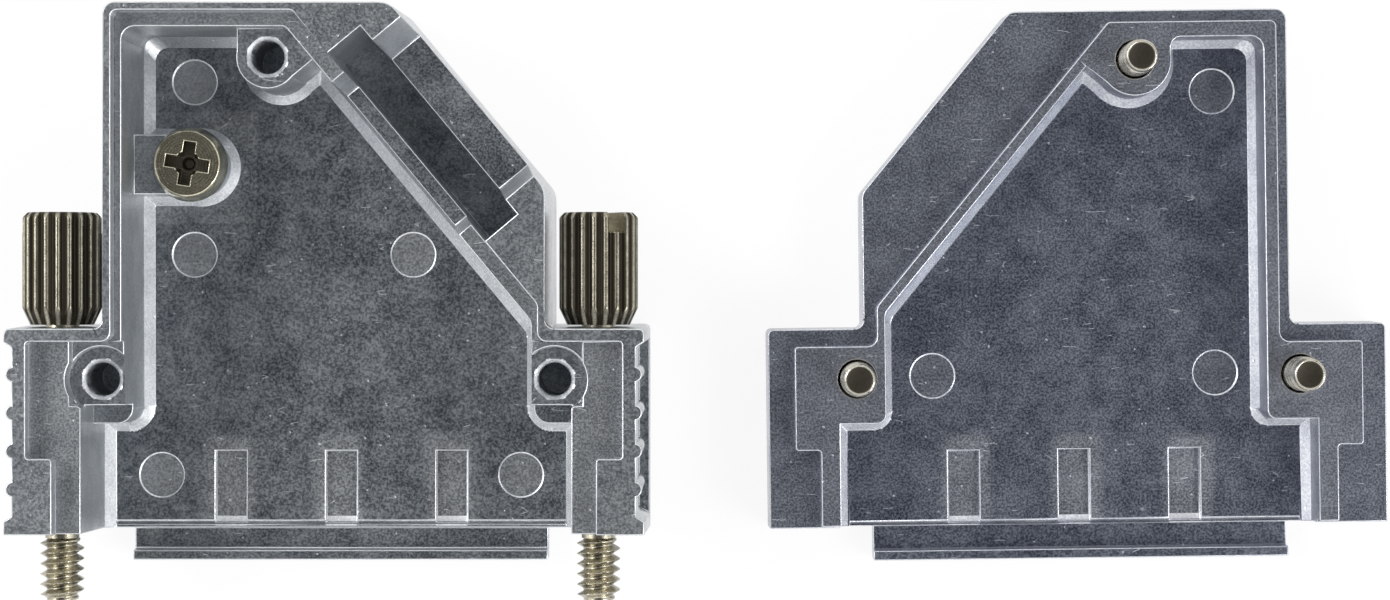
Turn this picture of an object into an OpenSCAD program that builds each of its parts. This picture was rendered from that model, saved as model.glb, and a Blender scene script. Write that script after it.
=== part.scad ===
// Two-part die-cast hood for a 15-way D-subminiature connector, with a cable exit on a
// slanted corner. The halves lie open side by side, insides up: base left, cover right.
// Each half is drawn with its connector face on y = 0 and its outer face on z = 0.

/* [Hood outline] */
// Height of the closed hood
closed_h = 15.5; // [14:0.1:19]
// Height of the cover half up to the parting plane
cover_h = 4.0; // [3.6:0.1:5]
// Width of the body at the parting plane
body_w = 27.0; // [25.5:0.1:33]
// Length from the connector face to the rear edge
body_len = 32.55; // [30:0.05:42]
// Width across the ears at the parting plane
ear_w = 39.1; // [38.7:0.1:48]
// Depth of the ears behind the connector face
ear_len = 12.6; // [12:0.1:15]
// Radius of the square rear corner
corner_r = 0.7; // [0.3:0.05:1]
// Corner radius of the ears
ear_r = 0.35; // [0.2:0.05:0.6]
// Radius of the rounding between the body and the ears
waist_r = 0.6; // [0.3:0.05:0.9]
// Rounding of the edges of the outer faces
edge_r = 0.45; // [0.2:0.05:0.7]
// Draft of the outer walls in degrees, widest at the outer face
draft = 1.2; // [0.5:0.1:2]

/* [Slanted corner and cable exit] */
// Start of the slanted side on the rear edge, from the centre line
slant_from = 4.0; // [2:0.05:6]
// Angle of the slanted side below the rear edge
slant_angle = 50.2; // [45:0.1:55]
// Radius at both ends of the slanted side on the base
slant_r = 1.4; // [0.6:0.1:2]
// Radius at both ends of the slanted side on the cover
cover_slant_r = 0.8; // [0.4:0.1:2]
// Thickness of the outer wall at the cable exit
exit_wall = 2.3; // [1.5:0.1:3]
// Width of the pocket that holds a cable insert
pocket_w = 2.6; // [2:0.1:3.5]
// Length of the insert pocket along the slanted side
pocket_len = 14.95; // [12:0.05:15.2]
// Thickness of the wall between the pocket and the inside
inner_wall = 1.0; // [0.8:0.1:1.5]
// Width of the cable gap at the parting plane
gap_w = 12.65; // [9:0.05:13]
// Height of the sill of the cable gap
gap_sill = 6.4; // [4:0.1:8]
// How far each side of the gap leans in on the way down
gap_lean = 1.05; // [0.5:0.05:2]

/* [Inside] */
// Thickness of the side walls
side_wall = 0.95; // [0.9:0.05:1.1]
// Thickness of the rear wall
rear_wall = 1.4; // [1.2:0.05:1.8]
// Thickness of the base floor
base_floor = 1.5; // [1.4:0.1:2]
// Thickness of the cover floor
cover_floor = 1.7; // [1.6:0.1:1.9]
// Width of the connector mouth
mouth_w = 30.1; // [29:0.1:30.2]
// Depth of the wide mouth behind the connector face
mouth_len = 6.6; // [5:0.05:7]
// Size of the bevel where the walls meet the floor
foot = 0.65; // [0.4:0.05:0.8]
// Radius of the corner between the mouth and the inside of the base
base_pillar_r = 1.0; // [0.6:0.1:1.2]
// Radius of that corner on the cover
cover_pillar_r = 0.6; // [0.4:0.1:1]
// Run of the longer bevel under the slanted wall
slant_foot = 1.05; // [0.7:0.05:1.4]

/* [Lip and seat] */
// Width of the base rim outside the lip seat on the body
rim = 0.5; // [0.4:0.05:0.6]
// Width of the base rim at the back of the ears
ear_rim = 0.8; // [0.6:0.05:1]
// Width of the base rim at the ends of the ears
ear_end_rim = 1.35; // [1.2:0.05:1.6]
// Depth of the lip seat below the base rim
seat_depth = 1.2; // [1:0.05:1.4]
// Height of the cover lip above the parting plane
lip_h = 1.0; // [0.8:0.05:1]
// Clearance between the lip and its seat
lip_clear = 0.3; // [0.15:0.05:0.35]
// How far the cover's walls stand inside the base's walls
lip_inset = 0.4; // [0.1:0.05:0.5]
// How much further the long side wall of the cover stands in
long_inset = 0.3; // [0:0.05:0.4]

/* [Grip on the base ears] */
// Depth of the grip recess
grip_depth = 0.5; // [0.3:0.05:0.7]
// Length of the grip recess along the ear
grip_len = 10.95; // [9:0.05:11.4]
// Height of the plain foot under the grip
grip_foot = 1.5; // [1:0.1:3]
// Number of ribs on each grip
grip_ribs = 4; // [2:1:4]
// Spacing of the ribs
grip_pitch = 2.34; // [1.8:0.02:2.4]
// Radius of a rib
grip_r = 0.47; // [0.3:0.01:0.55]

/* [Connector seat] */
// Distance between the two thumbscrew axes
screw_pitch = 33.32; // [33.2:0.01:33.4]
// Height of the connector flange
flange_h = 12.5; // [12:0.1:12.7]
// Width of the tongue in front of each half
tongue_w = 26.5; // [24:0.1:27]
// How far the cover's tongue stands off centre
tongue_shift = 0.35; // [0:0.05:0.5]
// Reach of the tongue in front of the connector face
tongue_len = 2.25; // [2:0.05:2.6]
// Thickness of the lip along the front of the tongue
tongue_lip = 0.7; // [0.5:0.05:0.9]
// Height of that lip above the flange groove
tongue_lip_h = 0.8; // [0.4:0.05:1]
// Clearance between the groove and the flange
flange_clear = 0.25; // [0.1:0.05:0.3]
// Width of the shallow pockets behind the mouth
dimple_w = 2.0; // [1.5:0.1:3]
// Length of those pockets
dimple_len = 4.7; // [3:0.1:5.5]
// Depth of those pockets
dimple_depth = 0.4; // [0.2:0.05:0.6]
// Spacing of those pockets
dimple_pitch = 7.07; // [6:0.01:8]

/* [Thumbscrews] */
// Outer diameter of the knurled head
head_d = 4.9; // [4.4:0.05:5.2]
// Length of the head
head_len = 6.95; // [5:0.05:10]
// Number of knurl teeth
knurl_teeth = 20; // [16:1:28]
// Depth of the knurl
knurl_depth = 0.26; // [0.15:0.01:0.4]
// Diameter of the cone under the head where it meets the ear
cone_d = 3.9; // [3.4:0.1:4.2]
// Length of the cone
cone_len = 1.05; // [0.5:0.05:1.5]
// Chamfer on the end of the head
head_chamfer = 0.35; // [0.2:0.05:0.5]
// Width of the screwdriver slot
slot_w = 1.1; // [0.6:0.05:1.2]
// Depth of the screwdriver slot
slot_depth = 1.25; // [0.8:0.05:1.8]
// Major diameter of the 4-40 thread
thread_d = 2.74; // [2.7:0.01:2.84]
// Length of thread beyond the connector face
thread_len = 4.25; // [3:0.05:6]
// Diameter of the reduced shank in the ear
shank_d = 2.1; // [2:0.01:2.16]
// Radial clearance of the shank in the tapped hole of the ear
turn_clear = 0.08; // [0.05:0.01:0.09]
// End clearance between the screw and the ear
end_clear = 0.1; // [0.05:0.05:0.3]
// Turn of the slot of the left screw in degrees
left_turn = 4; // [0:1:180]
// Turn of the slot of the right screw in degrees
right_turn = 121; // [0:1:180]

/* [Assembly screws] */
// Distance of the ear screws from the centre line
ear_screw_x = 13.97; // [13.9:0.01:14.05]
// Distance of the ear screws behind the connector face
ear_screw_y = 9.45; // [9.2:0.05:9.6]
// Distance of the rear screw left of the centre line, on the base
rear_screw_x = 3.78; // [2.5:0.02:4.5]
// Distance of the rear screw from the rear edge
rear_screw_back = 3.18; // [3:0.02:3.6]
// Diameter of the thread-forming screws
screw_d = 2.2; // [2:0.05:2.4]
// Length of a screw over its head
screw_len = 8.2; // [7:0.1:9.5]
// Diameter of the screw head
screw_head_d = 3.8; // [3.4:0.1:3.9]
// Height of the screw head
screw_head_h = 1.2; // [1:0.1:1.3]
// Length of the chamfered lead
screw_lead = 0.4; // [0.2:0.05:1]
// Diameter of the dished tip
screw_tip_d = 1.75; // [1.4:0.05:1.8]
// Radial clearance of the screws in the cover
screw_clear = 0.12; // [0.08:0.01:0.15]
// Depth of the counterbores in the outer face of the cover
cbore_depth = 1.4; // [1.35:0.05:1.5]
// Radial clearance of the heads in their counterbores
cbore_clear = 0.2; // [0.1:0.05:0.25]
// Diameter of the core holes in the base
core_d = 2.05; // [1.9:0.05:2.1]
// Depth of the core holes
core_depth = 5.6; // [4.5:0.1:6.5]
// Level of the spot faces round the core holes, below the lip seat
spot_drop = 1.5; // [1.2:0.05:1.5]
// Diameter of the spot faces
spot_d = 4.1; // [3.4:0.1:4.3]
// Radius of the rear screw's boss in the base
base_boss_r = 1.95; // [1.8:0.05:2.2]
// Radius of the rear screw's boss in the cover
cover_boss_r = 2.3; // [2.25:0.05:2.6]
// Radius of the fillets between that boss and the walls
boss_fillet = 0.6; // [0.3:0.05:0.8]

/* [Clamp screw] */
// Distance of the clamp screw left of the centre line
clamp_x = 8.96; // [8:0.01:9.5]
// Distance of the clamp screw behind the connector face
clamp_y = 22.85; // [20:0.05:25]
// Height of the boss it stands on
clamp_boss_h = 6.0; // [4.2:0.1:7]
// Width of that boss
clamp_boss_w = 3.85; // [3.7:0.05:4.6]
// Nominal diameter of the clamp screw
clamp_d = 2.9; // [2.5:0.1:3]
// Diameter of the head at its seat
clamp_head_d = 4.7; // [4.2:0.1:5.4]
// Diameter of the flat top of the head
clamp_top_d = 4.15; // [3.6:0.05:4.2]
// Height of the head
clamp_head_h = 1.6; // [1.2:0.05:2]
// Turn of the cross recess in degrees
clamp_turn = -9; // [-45:1:45]

/* [Layout] */
// Gap between the ears of the two halves as they lie
lay_gap = 7.4; // [2:0.1:30]
// How far the loose cover lies turned from square
cover_turn = 0.7; // [-2:0.05:2]
// How far back the loose cover lies
cover_back = 0.1; // [-1:0.05:1]

/* [Hidden] */
$fn = 48;
ZINC = [0.60, 0.62, 0.65];
NICKEL = [0.72, 0.69, 0.62];
slab = 0.01;
tuck = 0.04;
boss_foot = foot * 0.9;
over = 1;
corner_steps = 4;

base_h = closed_h - cover_h;
axis_z = closed_h / 2;
body_hw = body_w / 2;
ear_hw = ear_w / 2;
screw_x = screw_pitch / 2;
cavity_hw = body_hw - side_wall;
cavity_rear = body_len - rear_wall;
mouth_hw = mouth_w / 2;
seat_t = exit_wall + pocket_w;
cavity_t = seat_t + inner_wall;
seat_z = base_h - seat_depth;
seat_hw = body_hw - rim;
seat_rear = body_len - rim;
ear_seat_y = ear_len - ear_rim;
ear_seat_hw = ear_hw - ear_end_rim;
ear_stop_y = 4.65;
slot_seat_hw = ear_seat_hw - 1.6;
shelf_z = 6.0;
shelf_y = 7.85;
ear_flat_hw = 15.75;
ear_flat_z = seat_z - 1.0;
spot_z = seat_z - spot_drop;
groove_z = (closed_h - flange_h) / 2 - flange_clear;
rear_screw_y = body_len - rear_screw_back;
slant_gap = sin(slant_angle) * (rear_screw_x + slant_from) + cos(slant_angle) * rear_screw_back;
mark_d = 2.95;
small_mark_d = 1.95;
tongue_bevel = 0.1;
edge_bevel = 0.25;
mark_depth = 0.12;

// --- Outlines -------------------------------------------------------------------------

// y on the line that runs at depth t inside the slanted side, at a given x, and the reverse
function slant_y(x, t) = body_len - (t + sin(slant_angle) * (x - slant_from)) / cos(slant_angle);
function slant_x(y, t) = slant_from - (t + cos(slant_angle) * (y - body_len)) / sin(slant_angle);

function unit(v) = v / norm(v);

// The points that round the corner b between its neighbours a and c with radius r
function corner(a, b, c, r) =
    let (u = unit(a - b), v = unit(c - b))
    let (half = acos(u * v) / 2)
    let (first = b + u * r / tan(half), last = b + v * r / tan(half))
    let (hub = b + unit(u + v) * r / sin(half))
    let (from = atan2(first.y - hub.y, first.x - hub.x))
    let (to = atan2(last.y - hub.y, last.x - hub.x))
    let (sweep = to - from > 180 ? to - from - 360 : to - from < -180 ? to - from + 360 : to - from)
    [for (i = [0 : corner_steps])
        hub + r * [cos(from + sweep * i / corner_steps), sin(from + sweep * i / corner_steps)]];

// A closed outline with every corner rounded by its own radius, or left sharp at 0
function rounded(pts, radii) =
    let (n = len(pts))
    [for (i = [0 : n - 1])
        each radii[i] == 0 ? [pts[i]]
            : corner(pts[(i + n - 1) % n], pts[i], pts[(i + 1) % n], radii[i])];

// Body and ears at the parting plane, grown outwards by g
function body_outline(g, r) =
    rounded([[-body_hw - g, 1], [body_hw + g, 1],
             [body_hw + g, slant_y(body_hw + g, -g)],
             [slant_x(body_len + g, -g), body_len + g],
             [-body_hw - g, body_len + g]],
            [0, 0, r, r, corner_r]);

function ear_outline(g) =
    rounded([[-ear_hw - g, min(0, -g)], [ear_hw + g, min(0, -g)],
             [ear_hw + g, ear_len + g], [-ear_hw - g, ear_len + g]],
            [0, 0, ear_r, ear_r]);

// Where the cover lip lands in the base rim, drawn in by c
function seat_outline(c) =
    rounded([[-slot_seat_hw + c, -over], [slot_seat_hw - c, -over],
             [slot_seat_hw - c, ear_stop_y + c], [ear_seat_hw - c, ear_stop_y + c],
             [ear_seat_hw - c, ear_seat_y - c], [seat_hw - c, ear_seat_y - c],
             [seat_hw - c, slant_y(seat_hw - c, seat_t + c)],
             [slant_x(seat_rear - c, seat_t + c), seat_rear - c],
             [-seat_hw + c, seat_rear - c], [-seat_hw + c, ear_seat_y - c],
             [-ear_seat_hw + c, ear_seat_y - c], [-ear_seat_hw + c, ear_stop_y + c],
             [-slot_seat_hw + c, ear_stop_y + c]],
            [0, 0, 0.2, 0.2, 0.2, 0.6, 0.6, 0.4, 0.4, 0.6, 0.2, 0.2, 0.2]);

// The inside of the body, drawn in by c, by s on the slanted wall and by w on the long side
function cavity_outline(c, s, w) =
    rounded([[-cavity_hw + w, 2], [cavity_hw - c, 2],
             [cavity_hw - c, slant_y(cavity_hw - c, cavity_t + s)],
             [slant_x(cavity_rear - c, cavity_t + s), cavity_rear - c],
             [-cavity_hw + w, cavity_rear - c]],
            [0, 0, 0.8, 0.5, 0.8]);

function mouth_outline(c) =
    [[-mouth_hw + c, -over], [mouth_hw - c, -over],
     [mouth_hw - c, mouth_len - c], [-mouth_hw + c, mouth_len - c]];

// --- Solids shared by the halves ------------------------------------------------------

// A convex solid through a list of [height, outline]
module loft(levels) {
    hull()
        for (level = levels)
            translate([0, 0, level[0]])
                linear_extrude(slab) polygon(level[1]);
}

// Heights and growth of an outer skin of height h: a rounded edge, then the draft
function skin(h) =
    concat([for (a = [0 : 30 : 90])
                let (z = edge_r * (1 - cos(a)))
                [z, (h - z) * tan(draft) - edge_r * (1 - sin(a))]],
           [[h - slab, 0]]);

module waist_corner(h) {
    translate([body_hw - 0.4, ear_len - 0.4, 0])
        linear_extrude(h)
            difference() {
                square(waist_r + 0.4);
                translate([waist_r + 0.4, waist_r + 0.4]) circle(waist_r);
            }
}

module outer_block(h, r) {
    loft([for (s = skin(h)) [s[0], body_outline(s[1], r)]]);
    loft([for (s = skin(h)) [s[0], ear_outline(s[1])]]);
    waist_corner(h);
    mirror([1, 0, 0]) waist_corner(h);
}

// The hollow of a half: bevelled along the floor, with its own bevel under the slanted wall
module hollow(floor_z, h, c, s, w, bevel, slant_bevel) {
    loft([[floor_z, cavity_outline(c + bevel, s + slant_bevel, w + bevel)],
          [floor_z + bevel, cavity_outline(c, s + slant_bevel / 3, w)],
          [floor_z + 2 * bevel, cavity_outline(c, s, w)],
          [h + over, cavity_outline(c, s, w)]]);
    loft([[floor_z, mouth_outline(bevel)],
          [floor_z + bevel, mouth_outline(0)],
          [h + over, mouth_outline(0)]]);
}

// Room cut at the corner of the mouth for a rounded pillar
module pillar_room(x, r, floor_z, h, bevel) {
    translate([x - bevel, mouth_len - bevel, floor_z])
        cube([r + bevel, r + bevel, h]);
}

// The rounded pillar itself, with a bevelled foot
module pillar(x, r, floor_z, top, bevel) {
    translate([x + r, mouth_len + r, 0])
        rotate([0, 0, 180])
            rotate_extrude(angle = 90)
                polygon([[0, floor_z - 0.5], [r + bevel, floor_z - 0.5], [r + bevel, floor_z],
                         [r, floor_z + bevel], [r, top], [0, top]]);
}

// Rounds the inside corner whose hub is the origin and whose walls are at +x and +y
module inner_corner(r, floor_z, top, bevel) {
    b = min(bevel, r - 0.1);
    difference() {
        translate([0, 0, floor_z - 0.5]) cube([r + 0.1, r + 0.1, top - floor_z + 0.5]);
        rotate_extrude()
            polygon([[0, floor_z], [r - b, floor_z], [r, floor_z + b], [r, top + over],
                     [0, top + over]]);
    }
}

// The side of a boss in section: its bevelled foot and its wall
function boss_side(r, z0, top, bevel) =
    [[r + bevel, z0 - bevel], [r + bevel, z0], [r, z0 + bevel], [r, top]];

// A boss with a bevelled foot that runs from its round end to a wall, along +y
module pier(w, z0, top, bevel, reach) {
    side = boss_side(w / 2 - tuck, z0, top, bevel);
    rotate_extrude() polygon(concat([[0, z0 - bevel]], boss_side(w / 2, z0, top, bevel), [[0, top]]));
    rotate([90, 0, 180])
        linear_extrude(reach)
            polygon(concat(side, [for (i = [3 : -1 : 0]) [-side[i].x, side[i].y]]));
}

// The rear screw's boss, tied to the rear wall and to the slanted wall
module rear_boss(r, z0, top) {
    intersection() {
        translate([-rear_screw_x, rear_screw_y, 0]) {
            pier(2 * r, z0, top, boss_foot, rear_screw_back);
            rotate([0, 0, -slant_angle]) pier(2 * r, z0, top, boss_foot, slant_gap);
        }
        linear_extrude(closed_h) polygon(seat_outline(lip_clear + 0.1));
    }
}

// Tongue in front of the mouth, with a groove for the connector flange
module tongue(floor_z) {
    lip_top = groove_z + tongue_lip_h;
    rotate([90, 0, 90])
        translate([0, 0, -tongue_w / 2])
            linear_extrude(tongue_w)
                polygon([[0.8, 0], [0.8, floor_z - 0.1], [-tongue_bevel, groove_z],
                         [-tongue_len + tongue_lip, groove_z],
                         [-tongue_len + tongue_lip - 0.08, lip_top],
                         [-tongue_len, lip_top], [-tongue_len, 0.25], [-tongue_len + 0.25, 0]]);
}

// The bevel along the front edge of the floor
module floor_edge(floor_z) {
    rotate([90, 0, 90])
        translate([0, 0, -mouth_hw + foot])
            linear_extrude(mouth_w - 2 * foot)
                polygon([[0, floor_z - edge_bevel], [edge_bevel + over, floor_z + over],
                         [0, floor_z + over]]);
}

// Three shallow pockets behind the mouth, each with a sloping front end
module dimples(floor_z) {
    for (i = [-1 : 1])
        translate([i * dimple_pitch - dimple_w / 2, 0, floor_z])
            rotate([90, 0, 90])
                linear_extrude(dimple_w)
                    polygon([[-0.1, 0], [0.5, -dimple_depth], [dimple_len, -dimple_depth],
                             [dimple_len, over], [-0.1, over]]);
}

module mark(x, y, z, d) {
    translate([x, y, z - mark_depth]) cylinder(d = d, h = over);
}

// --- Base half ------------------------------------------------------------------------

// Frame on the slanted side: x along it from its rear end, y inwards
module on_slant() {
    translate([slant_from, body_len, 0]) rotate([0, 0, -slant_angle]) mirror([0, 1, 0]) children();
}

module insert_pocket() {
    on_slant()
        translate([0, exit_wall, base_floor]) cube([pocket_len, pocket_w, base_h]);
}

module cable_gap() {
    half = gap_w / 2;
    slope = gap_lean / (base_h - gap_sill);
    on_slant()
        translate([pocket_len / 2, -over, 0])
            rotate([-90, 0, 0])
                mirror([0, 1, 0])
                    linear_extrude(cavity_t + slant_foot + over)
                        polygon([[-half + gap_lean, gap_sill], [half - gap_lean, gap_sill],
                                 [half + slope * over, base_h + over],
                                 [-half - slope * over, base_h + over]]);
}

// Cut along the end of an ear, less its ribs
module grip() {
    x0 = ear_hw - grip_depth;
    y0 = (ear_len - grip_len) / 2;
    y1 = y0 + grip_len;
    slope = over * 0.6;
    difference() {
        translate([0, 0, grip_foot])
            linear_extrude(base_h)
                polygon(rounded([[x0, y0 + grip_depth * 0.6], [ear_hw + over, y0 - slope],
                                 [ear_hw + over, y1 + slope], [x0, y1 - grip_depth * 0.6]],
                                [0.2, 0, 0, 0.2]));
        for (i = [0 : grip_ribs - 1])
            translate([x0 - 0.1, ear_len / 2 + (i - (grip_ribs - 1) / 2) * grip_pitch, 0])
                cylinder(r = grip_r, h = base_h + over);
    }
}

// Stepped levels round an ear's core hole, open to the inside
module ear_levels() {
    flat_w = ear_flat_hw - cavity_hw + over;
    pad_x = cavity_hw - over;
    translate([pad_x, shelf_y, ear_flat_z]) cube([flat_w, ear_seat_y - shelf_y, base_h]);
    translate([pad_x, shelf_y, spot_z]) cube([ear_screw_x - pad_x, ear_screw_y - shelf_y + 1.45, base_h]);
    translate([ear_screw_x, ear_screw_y, spot_z]) cylinder(d = spot_d, h = base_h);
    translate([pad_x, mouth_len - over, shelf_z]) cube([mouth_hw - pad_x, shelf_y - mouth_len + over, base_h]);
}

module thumbscrew_bore() {
    translate([screw_x, -over, axis_z])
        rotate([-90, 0, 0]) cylinder(d = shank_d + 2 * turn_clear, h = ear_len + 2 * over);
}

module core_hole(x, y) {
    translate([x, y, spot_z - core_depth]) cylinder(d = core_d, h = base_h);
    translate([x, y, spot_z - 0.25]) cylinder(d1 = core_d, d2 = core_d + 0.6, h = 0.3);
}

module base_half() {
    difference() {
        union() {
            difference() {
                outer_block(base_h, slant_r);
                translate([0, 0, seat_z]) linear_extrude(base_h) polygon(seat_outline(0));
                hollow(base_floor, base_h, 0, 0, 0, foot, slant_foot);
                for (side = [0, 1])
                    mirror([side, 0, 0]) {
                        ear_levels();
                        pillar_room(cavity_hw, base_pillar_r, base_floor, base_h, foot);
                        grip();
                    }
                insert_pocket();
                cable_gap();
            }
            for (side = [0, 1])
                mirror([side, 0, 0]) pillar(cavity_hw, base_pillar_r, base_floor, shelf_z, foot);
            rear_boss(base_boss_r, base_floor, spot_z);
            translate([-clamp_x, clamp_y, 0])
                rotate([0, 0, 90])
                    pier(clamp_boss_w, base_floor, clamp_boss_h, boss_foot, cavity_hw - clamp_x + side_wall / 2);
            tongue(base_floor);
        }
        for (side = [0, 1])
            mirror([side, 0, 0]) {
                thumbscrew_bore();
                core_hole(ear_screw_x, ear_screw_y);
            }
        core_hole(-rear_screw_x, rear_screw_y);
        translate([-clamp_x, clamp_y, 0.7]) cylinder(d = clamp_d + 0.1, h = base_h);
        floor_edge(base_floor);
        dimples(base_floor);
        mark(-9.4, 28.3, base_floor, mark_d);
        mark(-9.4, 17.25, base_floor, mark_d);
        mark(4.6, 17.25, base_floor, mark_d);
        mark(-11.5, 3.15, base_floor, mark_d);
        mark(11.5, 3.15, base_floor, mark_d);
        mark(0.3, 31.35, base_h, small_mark_d);
        mark(12, 17.5, base_h, small_mark_d);
    }
}

// --- Cover half, drawn as the mirror image so that it closes onto the base --------------

module screw_hole(x, y) {
    translate([x, y, -over]) cylinder(d = screw_d + 2 * screw_clear, h = cover_h + lip_h + 2 * over);
    translate([x, y, -over]) cylinder(d = screw_head_d + 2 * cbore_clear, h = cbore_depth + over);
}

module cover_half() {
    top = cover_h + lip_h;
    bevel = foot * 0.8;
    long_hw = cavity_hw - lip_inset - long_inset;
    short_hw = cavity_hw - lip_inset;
    rear_y = cavity_rear - lip_inset;
    difference() {
        union() {
            difference() {
                union() {
                    outer_block(cover_h, cover_slant_r);
                    intersection() {
                        linear_extrude(top) polygon(seat_outline(lip_clear));
                        translate([-ear_hw, 0.15, 1]) cube([ear_w, body_len, closed_h]);
                    }
                }
                hollow(cover_floor, top, lip_inset, 0, lip_inset + long_inset, bevel, foot);
                pillar_room(short_hw, cover_pillar_r, cover_floor, top, bevel);
                mirror([1, 0, 0]) pillar_room(long_hw, cover_pillar_r, cover_floor, top, bevel);
            }
            pillar(short_hw, cover_pillar_r, cover_floor, top, bevel);
            mirror([1, 0, 0]) pillar(long_hw, cover_pillar_r, cover_floor, top, bevel);
            rear_boss(cover_boss_r, cover_floor, top);
            translate([-rear_screw_x - cover_boss_r - boss_fillet, rear_y - boss_fillet, 0])
                inner_corner(boss_fillet, cover_floor, top, bevel);
            translate([-tongue_shift, 0, 0]) tongue(cover_floor);
        }
        for (x = [-ear_screw_x, ear_screw_x]) screw_hole(x, ear_screw_y);
        screw_hole(-rear_screw_x, rear_screw_y);
        floor_edge(cover_floor);
        dimples(cover_floor);
        mark(-9.1, 27.5, cover_floor, mark_d);
        mark(-9.1, 9.5, cover_floor, mark_d);
        mark(9.0, 9.5, cover_floor, mark_d);
    }
}

// --- Screws ---------------------------------------------------------------------------

// Outline of the knurl: teeth with a flat crest on a round body
function knurl(n, r, depth) =
    [for (i = [0 : n - 1])
        each [for (k = [[-0.44, depth], [-0.13, 0], [0.13, 0], [0.44, depth]])
            let (a = 360 * (i + k[0]) / n)
            (r - k[1]) * [cos(a), sin(a)]]];

// A thumbscrew on the z axis: thread downwards, ear from z = 0 to ear_len
module thumbscrew(turn) {
    r = head_d / 2;
    front = -end_clear - (base_h - axis_z + thread_d / 2) * tan(draft);
    bottom = ear_len + end_clear + (base_h - axis_z + cone_d / 2) * tan(draft);
    top = bottom + head_len;
    tip = -thread_len;
    rotate([0, 0, turn])
        difference() {
            union() {
                intersection() {
                    translate([0, 0, bottom]) linear_extrude(head_len) polygon(knurl(knurl_teeth, r, knurl_depth));
                    rotate_extrude()
                        polygon([[0, bottom], [cone_d / 2, bottom], [r, bottom + cone_len],
                                 [r, top - head_chamfer], [r - head_chamfer, top], [0, top]]);
                }
                rotate_extrude()
                    polygon([[0, tip], [thread_d / 2 - 0.45, tip], [thread_d / 2, tip + 0.45],
                             [thread_d / 2, front - 0.3], [shank_d / 2, front],
                             [shank_d / 2, bottom + 0.5], [0, bottom + 0.5]]);
            }
            translate([-r - over, -slot_w / 2, top - slot_depth]) cube([head_d + 2 * over, slot_w, head_len]);
        }
}

module base_thumbscrew(x, turn) {
    translate([x, 0, axis_z]) rotate([-90, 0, 0]) thumbscrew(turn);
}

module cross_recess(reach, w, depth) {
    for (a = [0, 90])
        rotate([0, 0, a]) translate([-reach, -w / 2, -depth]) cube([2 * reach, w, depth + over]);
    translate([0, 0, -depth * 1.4]) cylinder(r1 = w * 0.35, r2 = w * 1.05, h = depth * 1.4 + slab);
}

// An assembly screw on the z axis, head down on z = 0
module cover_screw() {
    r = screw_d / 2;
    tip_r = screw_tip_d / 2;
    difference() {
        rotate_extrude()
            polygon([[0, 0], [screw_head_d / 2 - 0.2, 0], [screw_head_d / 2, 0.2],
                     [screw_head_d / 2, screw_head_h], [r, screw_head_h],
                     [r, screw_len - screw_lead], [tip_r + 0.07, screw_len],
                     [tip_r, screw_len], [tip_r - 0.1, screw_len - 0.12],
                     [0, screw_len - 0.25]]);
        mirror([0, 0, 1]) cross_recess(1.1, 0.55, 0.65);
    }
}

module clamp_screw_at_origin() {
    difference() {
        rotate_extrude()
            polygon([[0, -3.8], [clamp_d / 2 - 0.3, -3.8], [clamp_d / 2, -3.5],
                     [clamp_d / 2, 0], [clamp_head_d / 2, 0], [clamp_head_d / 2, 0.35],
                     [clamp_top_d / 2, clamp_head_h - 0.08], [clamp_top_d / 2 - 0.1, clamp_head_h],
                     [0, clamp_head_h]]);
        translate([0, 0, clamp_head_h]) rotate([0, 0, clamp_turn]) cross_recess(1.37, 0.76, 0.85);
    }
}

// --- Layout ---------------------------------------------------------------------------

base_grow = (base_h - edge_r) * tan(draft);
cover_grow = (cover_h - edge_r) * tan(draft);
base_reach = ear_hw + base_grow;
cover_reach = (ear_hw + cover_grow) * cos(cover_turn) + (ear_len + cover_grow) * abs(sin(cover_turn)) / 2;
lay_w = 2 * base_reach + 2 * cover_reach + lay_gap;
base_x = base_reach - lay_w / 2;
cover_x = lay_w / 2 - cover_reach;
cover_rear = ear_len / 2 + cover_back + (body_len + cover_grow - corner_r - ear_len / 2) * cos(cover_turn)
    + (body_hw + cover_grow - corner_r) * abs(sin(cover_turn)) + corner_r;
lay_y = -(max(body_len + base_grow, cover_rear) - thread_len) / 2;

module lay_base() {
    translate([base_x, lay_y, 0]) children();
}

// The cover is turned about the middle of its ears
module lay_cover() {
    translate([cover_x, lay_y + ear_len / 2 + cover_back, 0])
        rotate([0, 0, cover_turn])
            translate([0, -ear_len / 2, 0])
                mirror([1, 0, 0]) children();
}

module base_shell() {
    color(ZINC) lay_base() base_half();
}

module cover_shell() {
    color(ZINC) lay_cover() cover_half();
}

module thumbscrew_left() {
    color(NICKEL) lay_base() base_thumbscrew(-screw_x, left_turn);
}

module thumbscrew_right() {
    color(NICKEL) lay_base() base_thumbscrew(screw_x, right_turn);
}

module cover_screw_left() {
    color(NICKEL) lay_cover() translate([ear_screw_x, ear_screw_y, 0]) cover_screw();
}

module cover_screw_right() {
    color(NICKEL) lay_cover() translate([-ear_screw_x, ear_screw_y, 0]) cover_screw();
}

module cover_screw_rear() {
    color(NICKEL) lay_cover() translate([-rear_screw_x, rear_screw_y, 0]) cover_screw();
}

module clamp_screw() {
    color(NICKEL) lay_base() translate([-clamp_x, clamp_y, clamp_boss_h]) clamp_screw_at_origin();
}

base_shell();
cover_shell();
thumbscrew_left();
thumbscrew_right();
cover_screw_left();
cover_screw_right();
cover_screw_rear();
clamp_screw();
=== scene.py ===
import math
import bmesh
import bpy
from mathutils import Matrix, Vector
from mathutils.bvhtree import BVHTree


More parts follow.
